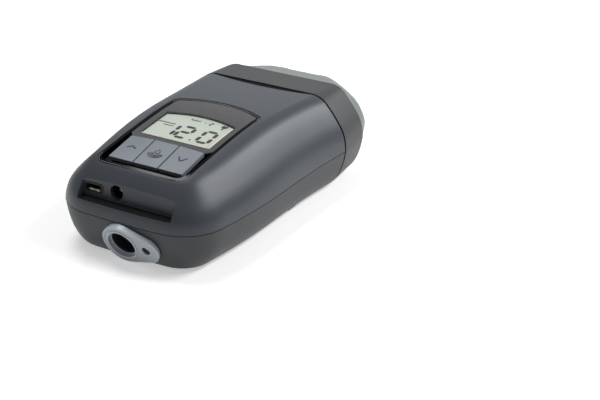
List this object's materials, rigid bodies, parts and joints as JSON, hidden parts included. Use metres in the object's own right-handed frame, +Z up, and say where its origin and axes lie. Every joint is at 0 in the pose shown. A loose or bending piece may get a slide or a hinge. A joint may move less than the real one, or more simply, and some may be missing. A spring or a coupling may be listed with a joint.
{
  "type": "cpap machine",
  "caption": "Compact bedside breathing machine: tapered grey casing, small display, push buttons, port bay and air outlet in the nose, domed filter cap at the rear.",
  "frame": {"origin": "on the ground, under the middle of the machine", "axes": "+Z up, -Y towards the nose with the air outlet, +Y towards the filter cap, +X to the right when seen from the rear"},
  "size_m": [0.0886, 0.1652, 0.0445],
  "materials": {
    "air_filter": "white non-woven pad",
    "bearing_lower": "bright steel",
    "bearing_upper": "bright steel",
    "blower_base": "plain moulded",
    "blower_cover": "plain moulded",
    "blower_grommet_front": "soft black",
    "blower_grommet_left": "soft black",
    "blower_grommet_right": "soft black",
    "board_header": "black",
    "button_down": "satin mid grey",
    "button_ramp": "satin mid grey",
    "button_up": "satin mid grey",
    "casing_screw_front_left": "plated steel",
    "casing_screw_front_right": "plated steel",
    "casing_screw_rear_left": "plated steel",
    "casing_screw_rear_right": "plated steel",
    "display_bezel": "polished black",
    "display_board": "green circuit board",
    "display_overlay": "satin dark grey film",
    "display_window": "clear",
    "filter_cap": "satin dark grey",
    "foot_front_left": "matte black",
    "foot_front_right": "matte black",
    "foot_rear_left": "matte black",
    "foot_rear_right": "matte black",
    "impeller": "plain moulded",
    "inlet_bulkhead": "plain moulded",
    "inlet_grille": "satin mid grey",
    "lcd_module": "pale grey-green display",
    "lower_casing": "satin dark grey moulding, fine texture",
    "main_board": "green circuit board",
    "motor_can": "drawn can",
    "motor_rotor": "dark coated magnet",
    "motor_shaft": "ground steel",
    "motor_stator": "laminations with copper winding",
    "muffler_foam": "open-cell foam",
    "outlet_duct": "plain moulded",
    "outlet_seal": "translucent silicone",
    "power_jack": "black",
    "pressure_sensor": "black",
    "seam_gasket": "matte black",
    "sensor_tube": "clear silicone",
    "supply_capacitor": "bright can",
    "switch_down": "black",
    "switch_ramp": "black",
    "switch_up": "black",
    "upper_casing": "satin slate grey moulding, fine texture",
    "usb_port": "bright tin plate"
  },
  "bodies": {
    "casing": {"air_filter": "air_filter", "bearing_lower": "bearing_lower", "bearing_upper": "bearing_upper", "blower_base": "blower_base", "blower_cover": "blower_cover", "blower_grommet_front": "blower_grommet_front", "blower_grommet_left": "blower_grommet_left", "blower_grommet_right": "blower_grommet_right", "board_header": "board_header", "casing_screw_front_left": "casing_screw_front_left", "casing_screw_front_right": "casing_screw_front_right", "casing_screw_rear_left": "casing_screw_rear_left", "casing_screw_rear_right": "casing_screw_rear_right", "display_bezel": "display_bezel", "display_board": "display_board", "display_overlay": "display_overlay", "display_window": "display_window", "foot_front_left": "foot_front_left", "foot_front_right": "foot_front_right", "foot_rear_left": "foot_rear_left", "foot_rear_right": "foot_rear_right", "inlet_bulkhead": "inlet_bulkhead", "lcd_module": "lcd_module", "lower_casing": "lower_casing", "main_board": "main_board", "motor_can": "motor_can", "motor_stator": "motor_stator", "muffler_foam": "muffler_foam", "outlet_duct": "outlet_duct", "outlet_seal": "outlet_seal", "power_jack": "power_jack", "pressure_sensor": "pressure_sensor", "seam_gasket": "seam_gasket", "sensor_tube": "sensor_tube", "supply_capacitor": "supply_capacitor", "switch_down": "switch_down", "switch_ramp": "switch_ramp", "switch_up": "switch_up", "upper_casing": "upper_casing", "usb_port": "usb_port"},
    "filter_door": {"filter_cap": "filter_cap", "inlet_grille": "inlet_grille"},
    "up_key": {"button_up": "button_up"},
    "ramp_key": {"button_ramp": "button_ramp"},
    "down_key": {"button_down": "button_down"},
    "rotor": {"impeller": "impeller", "motor_shaft": "motor_shaft", "motor_rotor": "motor_rotor"}
  },
  "joints": [
    {"name": "up_press", "type": "slide", "parent": "casing", "child": "up_key", "axis": [0, 0.2079, -0.9781], "range_m": [0, 0.0006], "stiffness_N_per_m": 800},
    {"name": "ramp_press", "type": "slide", "parent": "casing", "child": "ramp_key", "axis": [0, 0.2079, -0.9781], "range_m": [0, 0.0006], "stiffness_N_per_m": 800},
    {"name": "down_press", "type": "slide", "parent": "casing", "child": "down_key", "axis": [0, 0.2079, -0.9781], "range_m": [0, 0.0006], "stiffness_N_per_m": 800},
    {"name": "rotor_spin", "type": "hinge", "parent": "casing", "child": "rotor", "pos_m": [0, -0.00422, 0.015], "axis": [0, 0, 1], "continuous": true},
    {"name": "filter_cap_slide", "type": "slide", "parent": "casing", "child": "filter_door", "axis": [0, 1, 0], "range_m": [0, 0.025]}
  ]
}
